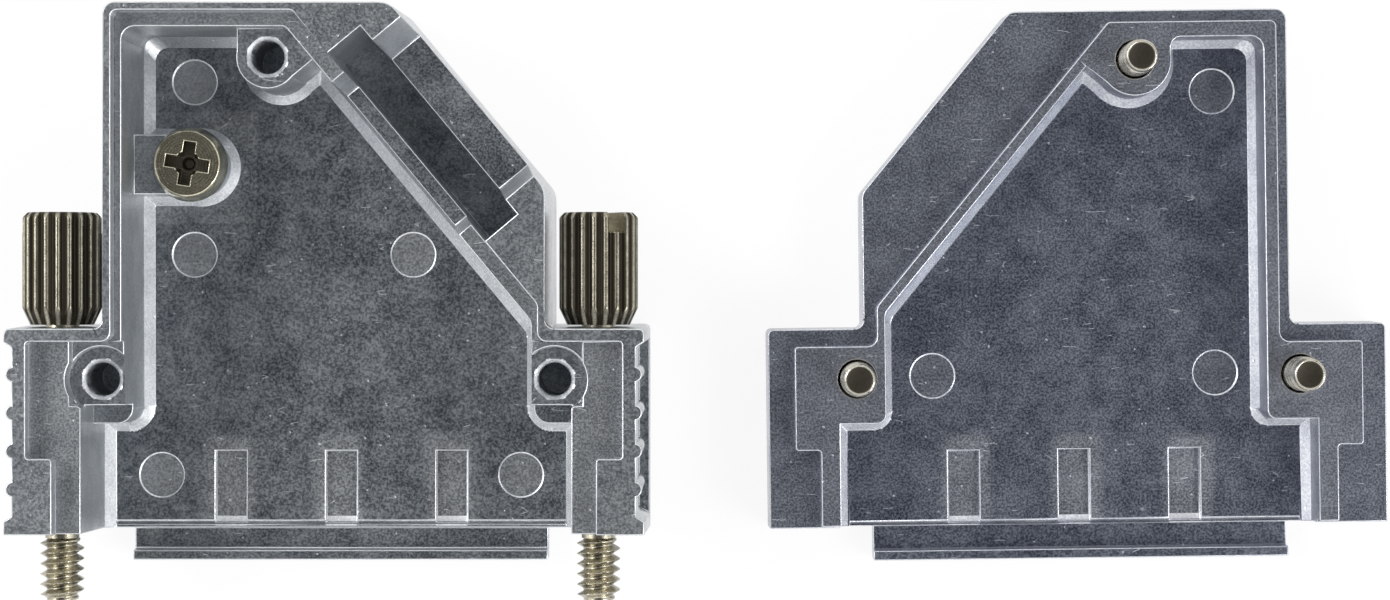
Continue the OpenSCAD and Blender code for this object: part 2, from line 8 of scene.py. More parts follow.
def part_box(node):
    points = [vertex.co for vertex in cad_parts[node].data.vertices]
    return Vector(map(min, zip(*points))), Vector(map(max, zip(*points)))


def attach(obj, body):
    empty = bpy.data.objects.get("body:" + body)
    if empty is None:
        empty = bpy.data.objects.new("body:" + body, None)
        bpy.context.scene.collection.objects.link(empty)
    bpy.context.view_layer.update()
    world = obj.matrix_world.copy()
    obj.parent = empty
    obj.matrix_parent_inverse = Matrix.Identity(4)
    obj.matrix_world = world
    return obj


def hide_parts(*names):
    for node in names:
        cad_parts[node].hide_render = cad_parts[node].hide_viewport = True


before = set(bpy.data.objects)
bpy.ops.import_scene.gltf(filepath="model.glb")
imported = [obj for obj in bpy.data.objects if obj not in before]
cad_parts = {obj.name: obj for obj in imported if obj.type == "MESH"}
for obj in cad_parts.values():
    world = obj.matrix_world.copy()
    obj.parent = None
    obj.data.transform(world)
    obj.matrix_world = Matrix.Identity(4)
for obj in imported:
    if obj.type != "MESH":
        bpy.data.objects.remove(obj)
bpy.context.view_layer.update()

# ---------------------------------------------------------------------------------------------
# The two halves of the hood. Each is one zinc alloy pressure die-casting, left bare: its flats
# carry the dull blue-grey skin of the mould, and its slopes and rounded edges get a painted highlight.
# ---------------------------------------------------------------------------------------------

PER_MM = 1000.0
EDGE_ROUND_MM = 0.07
SHARP_ANGLE = math.radians(35)
GENTLE_BEND = math.radians(1.5)
CURVED_STRIP_MM = 0.6
MARK_RING_MM = 0.09
LEVEL_FROM = 0.999


def add_node(tree, kind, inputs=None, **settings):
    """A node with its settings, whose inputs are values or the sockets that feed them."""
    made = tree.nodes.new(kind)
    for name, value in settings.items():
        setattr(made, name, value)
    for key, value in (inputs or {}).items():
        if isinstance(value, bpy.types.NodeSocket):
            tree.links.new(value, made.inputs[key])
        else:
            made.inputs[key].default_value = value
    return made


def math_node(tree, operation, *values):
    return add_node(tree, "ShaderNodeMath", dict(enumerate(values)), operation=operation).outputs[0]


def ramp(tree, value, low, high, out_low=0.0, out_high=1.0):
    """A smooth rise from out_low to out_high as value goes from low to high."""
    sizes = {"Value": value, "From Min": low, "From Max": high, "To Min": out_low, "To Max": out_high}
    return add_node(tree, "ShaderNodeMapRange", sizes, interpolation_type="SMOOTHSTEP").outputs[0]


def mix_colour(tree, factor, first, second, blend="MIX"):
    inputs = {0: factor, 6: first, 7: second}
    return add_node(tree, "ShaderNodeMix", inputs, data_type="RGBA", blend_type=blend).outputs[2]


def grey_noise(tree, vector, scale, detail=2.0, roughness=0.5, distortion=0.0):
    values = {"Vector": vector, "Scale": scale, "Detail": detail, "Roughness": roughness,
              "Distortion": distortion}
    return add_node(tree, "ShaderNodeTexNoise", values).outputs[0]


def stretched(tree, vector, turn, scale):
    """The same pattern turned about the vertical and drawn out along one direction."""
    values = {"Vector": vector, "Rotation": (0.0, 0.0, turn), "Scale": scale}
    return add_node(tree, "ShaderNodeMapping", values).outputs[0]


def vector_math(tree, operation, inputs, output=0):
    return add_node(tree, "ShaderNodeVectorMath", inputs, operation=operation).outputs[output]


def number_socket(group, name, in_out, value=None):
    made = group.interface.new_socket(name=name, in_out=in_out, socket_type="NodeSocketFloat")
    if value is not None:
        made.default_value = value


SKIN_SIZES = {"Grain per mm": 9.0, "Blotch per mm": 0.35, "Scratch amount": 1.0, "Pit amount": 1.0}
# Four families of hairlines: the way they run, how close they lie, and how rare they are.
HAIRLINES = ((0.35, 0.55, 0.68), (1.25, 0.42, 0.69), (2.40, 0.5, 0.70), (2.95, 0.7, 0.70))
HAIR_WIDTH = 0.012
PITS_PER_MM = 1.5


def build_metal_skin():
    """What bare and plated metal share: fine grain, blotches, hairline scratches and small pits."""
    group = bpy.data.node_groups.new("metal skin", "ShaderNodeTree")
    for name, value in SKIN_SIZES.items():
        number_socket(group, name, "INPUT", value)
    for name in ("Grain", "Blotch", "Scratch", "Pit", "Height"):
        number_socket(group, name, "OUTPUT")
    given = add_node(group, "NodeGroupInput").outputs
    where = add_node(group, "ShaderNodeTexCoord").outputs["Object"]
    mm = vector_math(group, "SCALE", {0: where, 3: PER_MM})
    grain = grey_noise(group, mm, given["Grain per mm"], 3.0, 0.65)
    blotch = grey_noise(group, mm, given["Blotch per mm"], 8.0, 0.75)
    hairs = None
    for turn, scale, gate_at in HAIRLINES:
        lines = grey_noise(group, stretched(group, mm, turn, (0.22, 1.0, 1.0)), scale * 2.4, 1.0, 0.4)
        near = math_node(group, "ABSOLUTE", math_node(group, "SUBTRACT", lines, 0.5))
        hair = ramp(group, near, 0.0, HAIR_WIDTH, 1.0, 0.0)
        patch = grey_noise(group, stretched(group, mm, turn, (1.0, 1.4, 1.0)), scale * 1.3, 1.0)
        gate = ramp(group, patch, gate_at, gate_at + 0.05)
        hair = math_node(group, "MULTIPLY", hair, gate)
        hairs = hair if hairs is None else math_node(group, "MAXIMUM", hairs, hair)
    scratch = math_node(group, "MULTIPLY", hairs, given["Scratch amount"])
    cell = add_node(group, "ShaderNodeTexVoronoi", {"Vector": mm, "Scale": PITS_PER_MM, "Randomness": 1.0})
    spot = ramp(group, cell.outputs["Distance"], 0.05, 0.13, 1.0, 0.0)
    chosen = ramp(group, grey_noise(group, mm, 1.1, 2.0), 0.52, 0.6)
    pit = math_node(group, "MULTIPLY", math_node(group, "MULTIPLY", spot, chosen), given["Pit amount"])
    height = math_node(group, "MULTIPLY_ADD", scratch, -0.5, math_node(group, "MULTIPLY", grain, 0.6))
    height = math_node(group, "MULTIPLY_ADD", pit, -0.9, height)
    sent = {"Grain": grain, "Blotch": blotch, "Scratch": scratch, "Pit": pit, "Height": height}
    add_node(group, "NodeGroupOutput", sent)
    return group


metal_skin = build_metal_skin()


def new_material(name):
    made = bpy.data.materials.new(name)
    made.use_nodes = True
    return made, made.node_tree, made.node_tree.nodes["Principled BSDF"]


def placed_skin(tree, sizes):
    made = add_node(tree, "ShaderNodeGroup", node_tree=metal_skin)
    for name, value in sizes.items():
        made.inputs[name].default_value = value
    return made


CAST_BUMP_M = 0.00003


def build_soft_patch():
    """A rectangle with a soft edge, lying flat: one inside it, fading to nothing over its blur."""
    group = bpy.data.node_groups.new("soft patch", "ShaderNodeTree")
    for name in ("Centre X mm", "Centre Y mm", "Half width mm", "Half length mm", "Blur mm"):
        number_socket(group, name, "INPUT", 1.0)
    number_socket(group, "Mask", "OUTPUT")
    given = add_node(group, "NodeGroupInput").outputs
    place = add_node(group, "ShaderNodeTexCoord").outputs["Object"]
    where = add_node(group, "ShaderNodeSeparateXYZ", {0: place}).outputs
    across = ("X", "Centre X mm", "Half width mm")
    along = ("Y", "Centre Y mm", "Half length mm")
    beyond = []
    for axis, centre, half in (across, along):
        mm = math_node(group, "MULTIPLY", where[axis], PER_MM)
        away = math_node(group, "ABSOLUTE", math_node(group, "SUBTRACT", mm, given[centre]))
        beyond.append(math_node(group, "MAXIMUM", math_node(group, "SUBTRACT", away, given[half]), 0.0))
    outside = add_node(group, "ShaderNodeCombineXYZ", {"X": beyond[0], "Y": beyond[1]}).outputs[0]
    reach = vector_math(group, "LENGTH", {0: outside}, "Value")
    share = math_node(group, "DIVIDE", reach, given["Blur mm"])
    add_node(group, "NodeGroupOutput", {"Mask": ramp(group, share, 0.0, 1.0, 1.0, 0.0)})
    return group


soft_patch = build_soft_patch()


def patches(tree, sizes):
    """The strongest of several soft patches.

    Each is (centre x, centre y, half width, half length, blur, weight), the sizes in mm.
    """
    strongest = None
    for *numbers, weight in sizes:
        made = add_node(tree, "ShaderNodeGroup", node_tree=soft_patch)
        for socket, value in zip(made.inputs, numbers):
            socket.default_value = value
        mask = math_node(tree, "MULTIPLY", made.outputs["Mask"], weight)
        strongest = mask if strongest is None else math_node(tree, "MAXIMUM", strongest, mask)
    return strongest


def cast_zinc(name, dark, light, bright, highlight_and_pale_patches):
    """Bare die-cast zinc with blotched flats; its slopes get a painted highlight, a bright colour for the
    light they reflect.

    The finish attribute lightens whole levels; the patch list gives soft patches painted lighter, among
    them a painted highlight round the core marks.
    """
    made, tree, surface = new_material(name)
    skin = placed_skin(tree, {"Grain per mm": 7.0, "Blotch per mm": 0.4})
    facing = add_node(tree, "ShaderNodeTexCoord").outputs["Normal"]
    upright = add_node(tree, "ShaderNodeSeparateXYZ", {0: facing}).outputs["Z"]
    level = ramp(tree, math_node(tree, "ABSOLUTE", upright), 0.90, 0.99)
    finish = add_node(tree, "ShaderNodeAttribute", attribute_name="finish").outputs["Fac"]
    blotch = ramp(tree, skin.outputs["Blotch"], 0.36, 0.66)
    grain = ramp(tree, skin.outputs["Grain"], 0.38, 0.62)
    tone = math_node(tree, "MULTIPLY_ADD", blotch, 0.5, math_node(tree, "MULTIPLY", grain, 0.5))
    flat = mix_colour(tree, tone, dark, light)
    flat = mix_colour(tree, finish, flat, bright)
    uneven = math_node(tree, "MULTIPLY_ADD", tone, 0.5, 0.5)
    # Lighter patches: a painted highlight round the core marks, and the paler square of the mould insert.
    patch_lightening = math_node(tree, "MULTIPLY", patches(tree, highlight_and_pale_patches), uneven)
    flat = mix_colour(tree, patch_lightening, flat, bright)
    marks = math_node(tree, "MAXIMUM", skin.outputs["Scratch"], skin.outputs["Pit"])
    flat = mix_colour(tree, math_node(tree, "MULTIPLY", marks, 0.6), flat, bright)
    # Faces that are not level take a painted highlight: the bright colour, varied a little towards the
    # light tone.
    slope_highlight = mix_colour(tree, math_node(tree, "MULTIPLY", tone, 0.75), bright, light)
    colour = mix_colour(tree, level, slope_highlight, flat)
    tree.links.new(colour, surface.inputs["Base Color"])
    rough = math_node(tree, "MULTIPLY_ADD", grain, 0.10, 0.36)
    tree.links.new(rough, surface.inputs["Roughness"])
    surface.inputs["Metallic"].default_value = 1.0
    bump = {"Strength": 0.55, "Distance": CAST_BUMP_M, "Height": skin.outputs["Height"]}
    relief = add_node(tree, "ShaderNodeBump", bump)
    tree.links.new(relief.outputs[0], surface.inputs["Normal"])
    return made


CORE_MARK_Y_MM = -11.4


def core_mark_highlight(places, weight):
    """A painted highlight round the core marks behind the front edge: soft lighter patches for the light
    caught there.
    """
    return [(x, CORE_MARK_Y_MM, 1.0, 2.3, 1.0, weight) for x in places]


# The mould insert under the clamp screw left a paler square, palest at its top.
insert_mark = [(-32.4, 8.5, 3.5, 3.5, 0.12, 0.16), (-30.3, 11.0, 1.3, 0.9, 0.5, 0.20)]
base_zinc = cast_zinc(
    "cast zinc of the base",
    dark=(0.085, 0.10, 0.12, 1.0),
    light=(0.35, 0.375, 0.395, 1.0),
    bright=(0.72, 0.73, 0.75, 1.0),
    highlight_and_pale_patches=core_mark_highlight((-30.53, -23.58, -16.42), 0.42) + insert_mark,
)
cover_zinc = cast_zinc(
    "cast zinc of the cover",
    dark=(0.06, 0.072, 0.105, 1.0),
    light=(0.27, 0.295, 0.355, 1.0),
    bright=(0.70, 0.71, 0.74, 1.0),
    highlight_and_pale_patches=core_mark_highlight((16.63, 23.74, 30.87), 0.36),
)


def room_beside(edge, face):
    """How far the face runs inwards from the middle of the edge, in mm."""
    start, end = edge.verts[0].co, edge.verts[1].co
    middle = (start + end) / 2
    along = (end - start).normalized()
    inwards = face.normal.cross(along)
    if inwards.dot(face.calc_center_median() - middle) < 0:
        inwards = -inwards
    room = 99.0
    for other in face.edges:
        if other == edge:
            continue
        p, q = other.verts[0].co - middle, other.verts[1].co - middle
        side_p, side_q = p.dot(along), q.dot(along)
        if (side_p > 0) == (side_q > 0):
            continue
        share = side_p / (side_p - side_q)
        ahead = p.dot(inwards) * (1 - share) + q.dot(inwards) * share
        if ahead > 0.001:
            room = min(room, ahead)
    return room


def rounded_solid(node, radius, sharp_from):
    """A working copy of the CAD solid in mm, with its sharp edges rounded where there is room."""
    work = bmesh.new()
    work.from_mesh(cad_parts[node].data)
    bmesh.ops.scale(work, vec=(PER_MM,) * 3, verts=work.verts)
    bmesh.ops.remove_doubles(work, verts=work.verts, dist=0.012)
    bmesh.ops.dissolve_limit(work, angle_limit=math.radians(1.0), verts=work.verts, edges=work.edges)
    sharp = [e for e in work.edges if e.is_manifold and e.calc_face_angle() > sharp_from]
    roomy = [e for e in sharp if min(room_beside(e, f) for f in e.link_faces) > 2.3 * radius]
    for face in work.faces:
        bends = [e.calc_face_angle(0.0) for e in face.edges]
        width = face.calc_area() / max(e.calc_length() for e in face.edges)
        face.smooth = width < CURVED_STRIP_MM and any(GENTLE_BEND < bend < sharp_from for bend in bends)
    bmesh.ops.triangulate(work, faces=work.faces)
    drawn = BVHTree.FromBMesh(work)
    curved = [face.smooth for face in work.faces]
    bmesh.ops.bevel(work, geom=roomy, offset=radius, offset_type="OFFSET", segments=2, profile=0.5,
                    affect="EDGES", clamp_overlap=False, miter_outer="SHARP", material=-1)
    for point in work.verts:
        near, normal, index, far = drawn.find_nearest(point.co)
        if far > radius * 0.45 or (point.co - near).dot(normal) > 0.004:
            point.co = near
    bmesh.ops.remove_doubles(work, verts=work.verts, dist=0.003)
    work.normal_update()
    for face in work.faces:
        near, normal, index, far = drawn.find_nearest(face.calc_center_median())
        face.smooth = face.normal.dot(normal) < math.cos(math.radians(3)) or curved[index]
    return work


def finished_piece(work, name, material, body, node):
    """The working copy as a plain mesh in metres that rides in place of its CAD node."""
    bmesh.ops.scale(work, vec=(1 / PER_MM,) * 3, verts=work.verts)
    mesh = bpy.data.meshes.new(name)
    work.to_mesh(mesh)
    work.free()
    drawn_normals = mesh.attributes.get("custom_normal")
    if drawn_normals:
        mesh.attributes.remove(drawn_normals)
    rounded = [polygon.use_smooth for polygon in mesh.polygons]
    mesh.set_sharp_from_angle(angle=math.radians(50))
    mesh.polygons.foreach_set("use_smooth", rounded)
    mesh.materials.clear()
    mesh.materials.append(material)
    piece = bpy.data.objects.new(name, mesh)
    bpy.context.scene.collection.objects.link(piece)
    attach(piece, body)
    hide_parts(node)
    return piece


def casting(node, material, finish_levels):
    """One half of the hood, with a sloping ring pressed round each ejector mark.

    finish_levels lists (lowest, highest, lightness) for its level surfaces, the heights in mm
    and the ejector marks first.
    """
    work = rounded_solid(node, EDGE_ROUND_MM, SHARP_ANGLE)
    finish = work.faces.layers.float.new("finish")
    low, high = finish_levels[0][:2]
    level = [f for f in work.faces if f.normal.z > LEVEL_FROM]
    marks = [f for f in level if low < f.calc_center_median().z < high]
    rings = bmesh.ops.inset_region(work, faces=marks, thickness=MARK_RING_MM, depth=0.0)["faces"]
    for ring in rings:
        ring.smooth = False
    outer = set()
    for point in {v for ring in rings for v in ring.verts}:
        if all(f in rings or f.normal.z < LEVEL_FROM for f in point.link_faces):
            outer.add(point)
    bmesh.ops.translate(work, vec=(0, 0, MARK_RING_MM * 0.5), verts=list(outer))
    for face in work.faces:
        if face.normal.z > LEVEL_FROM:
            z = face.calc_center_median().z
            for low, high, lightness in finish_levels:
                if low < z < high:
                    face[finish] = lightness
    return finished_piece(work, node + "_casting", material, "hood", node)


# Ejector marks, screw seats, ear flats, boss tops and the rim.
base_levels = [(1.30, 1.45, 0.30), (8.0, 9.0, 0.12), (9.0, 9.6, 0.22), (10.0, 10.6, 0.25),
               (11.2, 11.55, 0.15)]
# Ejector marks, the parting plane and the lip that enters the base.
cover_levels = [(1.50, 1.65, 0.12), (3.8, 4.2, 0.08), (4.8, 5.2, 0.16)]
casting("base_shell", base_zinc, base_levels)
casting("cover_shell", cover_zinc, cover_levels)

# ---------------------------------------------------------------------------------------------
# The clamp screw. It is a cheese-head steel screw, nickel-plated, turned on a lathe, with a
# cross recess. It stands in its boss, where it holds the clip of a cable clamp.
# ---------------------------------------------------------------------------------------------

CLAMP_ROUND_MM = 0.05
CLAMP_RINGS_PER_MM = 5.5
CLAMP_HEAD_MM = 1.7
RECESS_REACH_MM = 1.5
PLATE_BUMP_M = 0.00002
# The colour of painted shade, nearly black.
PAINTED_SHADE_COLOUR = (0.035, 0.03, 0.022, 1.0)
WORN_PLATE = (0.85, 0.83, 0.78, 1.0)


def plated_steel(name, dark, light, rings_about=None):
    """Nickel plate, warm grey. An attribute gives painted shade, how far the colour is darkened in recesses
    and crevices; rings turn about a point.
    """
    made, tree, surface = new_material(name)
    skin = placed_skin(tree, {"Grain per mm": 12.0, "Blotch per mm": 1.2, "Scratch amount": 0.8})
    blotch = ramp(tree, skin.outputs["Blotch"], 0.3, 0.7)
    grain = ramp(tree, skin.outputs["Grain"], 0.3, 0.7)
    tone = math_node(tree, "MULTIPLY_ADD", blotch, 0.5, math_node(tree, "MULTIPLY", grain, 0.5))
    colour = mix_colour(tree, tone, dark, light)
    marks = math_node(tree, "MAXIMUM", skin.outputs["Scratch"], skin.outputs["Pit"])
    colour = mix_colour(tree, math_node(tree, "MULTIPLY", marks, 0.4), colour, WORN_PLATE)
    height = skin.outputs["Height"]
    if rings_about:
        where = add_node(tree, "ShaderNodeTexCoord").outputs["Object"]
        away = vector_math(tree, "SUBTRACT", {0: where, 1: rings_about})
        level = vector_math(tree, "MULTIPLY", {0: away, 1: (1.0, 1.0, 0.0)})
        reach = vector_math(tree, "LENGTH", {0: level}, "Value")
        wobble = grey_noise(tree, where, 900.0, 1.0)
        turns = math_node(tree, "MULTIPLY_ADD", reach, PER_MM * CLAMP_RINGS_PER_MM * 2 * math.pi, wobble)
        ring = math_node(tree, "MULTIPLY_ADD", math_node(tree, "SINE", turns), 0.5, 0.5)
        height = math_node(tree, "MULTIPLY_ADD", ring, 0.5, height)
        colour = mix_colour(tree, math_node(tree, "MULTIPLY", ring, 0.35), colour, light)
    # Painted shade: the colour is darkened towards near black where the attribute says.
    painted_shade = add_node(tree, "ShaderNodeAttribute", attribute_name="painted_shade").outputs["Fac"]
    colour = mix_colour(tree, painted_shade, colour, PAINTED_SHADE_COLOUR)
    tree.links.new(colour, surface.inputs["Base Color"])
    rough = math_node(tree, "MULTIPLY_ADD", skin.outputs["Grain"], 0.16, 0.12)
    rough = math_node(tree, "MULTIPLY_ADD", painted_shade, 0.3, rough)
    tree.links.new(rough, surface.inputs["Roughness"])
    surface.inputs["Metallic"].default_value = 1.0
    relief = add_node(tree, "ShaderNodeBump", {"Strength": 0.6, "Distance": PLATE_BUMP_M, "Height": height})
    tree.links.new(relief.outputs[0], surface.inputs["Normal"])
    return made


def clamp_screw():
    low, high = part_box("clamp_screw")
    axis = (low + high) / 2
    top = high.z * PER_MM
    dark, light = (0.24, 0.22, 0.155, 1.0), (0.66, 0.62, 0.48, 1.0)
    metal = plated_steel("turned nickel plate", dark, light, tuple(axis))
    work = rounded_solid("clamp_screw", CLAMP_ROUND_MM, SHARP_ANGLE)
    painted_shade = work.faces.layers.float.new("painted_shade")
    # Painted shade: the cross recess is darkened nearly to black, and the shank below the head, down in the
    # boss, partly.
    for face in work.faces:
        centre = face.calc_center_median()
        reach = math.hypot(centre.x - axis.x * PER_MM, centre.y - axis.y * PER_MM)
        if reach < RECESS_REACH_MM and centre.z < top - 0.07:
            face[painted_shade] = 0.85
        elif centre.z < top - CLAMP_HEAD_MM:
            face[painted_shade] = 0.4
    return finished_piece(work, "clamp_screw_turned", metal, "hood", "clamp_screw")


clamp_screw()

# ---------------------------------------------------------------------------------------------
# The two thumbscrews. Each is turned from steel bar and nickel-plated: a knurled head with a
# screwdriver slot, a plain shank that turns in the ear, and a 4-40 thread beyond the ear.
# ---------------------------------------------------------------------------------------------

THREAD_SIZES = {"Length": 3.95, "Crest radius": 1.35, "Root radius": 0.93, "Pitch": 0.635,
                "Run-out": 0.35, "Start turn": 0.0}
KNURL_SIZES = {"Radius": 2.45, "Length": 6.95, "Teeth": 20, "Tooth depth": 0.26,
               "Cone radius": 1.95, "Cone length": 1.05, "Chamfer": 0.3, "Slot width": 1.1,
               "Slot depth": 1.25}
HEAD_ROWS = 60
SAMPLES_PER_TOOTH = 12
THREAD_ROWS_PER_TURN = 14
THREAD_SIDES = 48


def new_growth(name, sizes):
    """A geometry tree with a named input for each size, and the sockets that carry them."""
    tree = bpy.data.node_groups.new(name, "GeometryNodeTree")
    tree.interface.new_socket(name="Geometry", in_out="OUTPUT", socket_type="NodeSocketGeometry")
    for label, value in sizes.items():
        kind = "NodeSocketInt" if isinstance(value, int) else "NodeSocketFloat"
        tree.interface.new_socket(name=label, in_out="INPUT", socket_type=kind).default_value = value
    tree.interface.new_socket(name="Metal", in_out="INPUT", socket_type="NodeSocketMaterial")
    return tree, tree.nodes.new("NodeGroupInput").outputs


def end_growth(tree, shape, metal):
    real = add_node(tree, "GeometryNodeRealizeInstances", {0: shape}).outputs[0]
    smooth = add_node(tree, "GeometryNodeSetShadeSmooth", {"Geometry": real}).outputs[0]
    coated = add_node(tree, "GeometryNodeSetMaterial", {"Geometry": smooth, "Material": metal}).outputs[0]
    add_node(tree, "NodeGroupOutput", {0: coated})


def unit_bar(tree, sides, rows, length):
    """A bar of radius 1 along z, and the parts of its points' places."""
    sizes = {"Vertices": sides, "Side Segments": rows, "Radius": 1.0, "Depth": length}
    bar = add_node(tree, "GeometryNodeMeshCylinder", sizes).outputs["Mesh"]
    position = add_node(tree, "GeometryNodeInputPosition").outputs[0]
    return bar, add_node(tree, "ShaderNodeSeparateXYZ", {0: position}).outputs


def swollen(tree, bar, place, radius, height):
    """The unit bar with its points at this radius and height."""
    moved = {"X": math_node(tree, "MULTIPLY", place["X"], radius),
             "Y": math_node(tree, "MULTIPLY", place["Y"], radius), "Z": height}
    target = add_node(tree, "ShaderNodeCombineXYZ", moved).outputs[0]
    return add_node(tree, "GeometryNodeSetPosition", {"Geometry": bar, "Position": target}).outputs[0]


# Stores painted shade on the points: how far their colour is darkened.
def with_painted_shade(tree, shape, value):
    kept = {"Geometry": shape, "Name": "painted_shade", "Value": value}
    settings = {"data_type": "FLOAT", "domain": "POINT"}
    return add_node(tree, "GeometryNodeStoreNamedAttribute", kept, **settings).outputs[0]


def straight_ramp(tree, value, low, high):
    sizes = {"Value": value, "From Min": low, "From Max": high}
    return add_node(tree, "ShaderNodeMapRange", sizes).outputs[0]


def build_thread():
    """A round bar along z whose radius rises and falls along a right-hand helix."""
    tree, size = new_growth("screw thread", THREAD_SIZES)
    turns = math_node(tree, "DIVIDE", size["Length"], size["Pitch"])
    rows = math_node(tree, "MULTIPLY", turns, float(THREAD_ROWS_PER_TURN))
    bar, place = unit_bar(tree, THREAD_SIDES, rows, size["Length"])
    turn = math_node(tree, "DIVIDE", math_node(tree, "ARCTAN2", place["Y"], place["X"]), 2 * math.pi)
    height = math_node(tree, "MULTIPLY_ADD", size["Length"], 0.5, place["Z"])
    climbed = math_node(tree, "DIVIDE", height, size["Pitch"])
    phase = math_node(tree, "SUBTRACT", climbed, math_node(tree, "ADD", turn, size["Start turn"]))
    swing = math_node(tree, "ABSOLUTE", math_node(tree, "SUBTRACT", math_node(tree, "FRACT", phase), 0.5))
    ridge = straight_ramp(tree, swing, 0.08, 0.47)
    from_end = math_node(tree, "MINIMUM", height, math_node(tree, "SUBTRACT", size["Length"], height))
    fade = straight_ramp(tree, from_end, 0.0, size["Run-out"])
    depth = math_node(tree, "SUBTRACT", size["Crest radius"], size["Root radius"])
    rise = math_node(tree, "MULTIPLY", depth, math_node(tree, "MULTIPLY", ridge, fade))
    cut = swollen(tree, bar, place, math_node(tree, "ADD", size["Root radius"], rise), height)
    # Painted shade: the roots of the thread are darkened a little.
    shade_amount = math_node(tree, "SUBTRACT", 1.0, ridge)
    darkened = with_painted_shade(tree, cut, math_node(tree, "MULTIPLY", shade_amount, 0.12))
    end_growth(tree, darkened, size["Metal"])
    return tree


def build_knurled_head():
    """A round head along z with straight teeth, a cone below, a chamfer on top and a slot across."""
    tree, size = new_growth("knurled head", KNURL_SIZES)
    sides = math_node(tree, "MULTIPLY", size["Teeth"], float(SAMPLES_PER_TOOTH))
    bar, place = unit_bar(tree, sides, HEAD_ROWS, size["Length"])
    turn = math_node(tree, "DIVIDE", math_node(tree, "ARCTAN2", place["Y"], place["X"]), 2 * math.pi)
    height = math_node(tree, "MULTIPLY_ADD", size["Length"], 0.5, place["Z"])
    within = math_node(tree, "FRACT", math_node(tree, "MULTIPLY_ADD", turn, size["Teeth"], 0.5))
    off_crest = math_node(tree, "ABSOLUTE", math_node(tree, "SUBTRACT", within, 0.5))
    valley = straight_ramp(tree, off_crest, 0.10, 0.40)
    cut_in = math_node(tree, "MULTIPLY", valley, size["Tooth depth"])
    toothed = math_node(tree, "SUBTRACT", size["Radius"], cut_in)
    widening = math_node(tree, "SUBTRACT", size["Radius"], size["Cone radius"])
    flare = math_node(tree, "DIVIDE", widening, size["Cone length"])
    cone = math_node(tree, "MULTIPLY_ADD", height, flare, size["Cone radius"])
    past = math_node(tree, "SUBTRACT", height, math_node(tree, "SUBTRACT", size["Length"], size["Chamfer"]))
    chamfered = math_node(tree, "SUBTRACT", size["Radius"], math_node(tree, "MAXIMUM", past, 0.0))
    radius = math_node(tree, "MINIMUM", toothed, math_node(tree, "MINIMUM", cone, chamfered))
    shaped = swollen(tree, bar, place, radius, height)
    # Painted shade: the valleys between the teeth are darkened strongly, and the whole head a little.
    above_cone = ramp(tree, height, 0.4, 1.1)
    on_teeth = math_node(tree, "MULTIPLY", above_cone, ramp(tree, valley, 0.0, 0.45))
    shade_amount = math_node(tree, "MULTIPLY_ADD", on_teeth, 0.72, 0.28)
    darkened = with_painted_shade(tree, shaped, shade_amount)
    across = math_node(tree, "MULTIPLY", size["Radius"], 3.0)
    deep = math_node(tree, "MULTIPLY", size["Slot depth"], 2.0)
    sides_of = {"X": across, "Y": size["Slot width"], "Z": deep}
    block = add_node(tree, "ShaderNodeCombineXYZ", sides_of).outputs[0]
    cutter = add_node(tree, "GeometryNodeMeshCube", {"Size": block}).outputs["Mesh"]
    lifted = add_node(tree, "ShaderNodeCombineXYZ", {"Z": size["Length"]}).outputs[0]
    placed = add_node(tree, "GeometryNodeTransform", {"Geometry": cutter, "Translation": lifted}).outputs[0]
    slotted = add_node(tree, "GeometryNodeMeshBoolean", operation="DIFFERENCE", solver="EXACT")
    tree.links.new(darkened, slotted.inputs["Mesh 1"])
    tree.links.new(placed, slotted.inputs["Mesh 2"])
    end_growth(tree, slotted.outputs["Mesh"], size["Metal"])
    return tree


screw_thread = build_thread()
knurled_head = build_knurled_head()


def grown(tree, values, metal):
    """The shape that a geometry tree gives for these sizes, as a plain mesh."""
    holder = bpy.data.objects.new("growing", bpy.data.meshes.new("growing"))
    bpy.context.scene.collection.objects.link(holder)
    growth = holder.modifiers.new("growth", "NODES")
    growth.node_group = tree
    for item in tree.interface.items_tree:
        if item.in_out == "INPUT" and item.name in values:
            growth[item.identifier] = values[item.name]
        if item.in_out == "INPUT" and item.name == "Metal":
            growth[item.identifier] = metal
    shape = bpy.data.meshes.new_from_object(holder.evaluated_get(bpy.context.evaluated_depsgraph_get()))
    bpy.data.objects.remove(holder)
    return shape


def joined(parts):
    """One working copy from (mesh, place) parts."""
    work = bmesh.new()
    for shape, place in parts:
        shape.transform(place)
        work.from_mesh(shape)
    for face in work.faces:
        face.smooth = True
    return work


SHANK_RADIUS_MM = 1.05
thumbscrew_steel = plated_steel("knurled nickel plate", (0.17, 0.155, 0.115, 1.0), (0.68, 0.635, 0.51, 1.0))


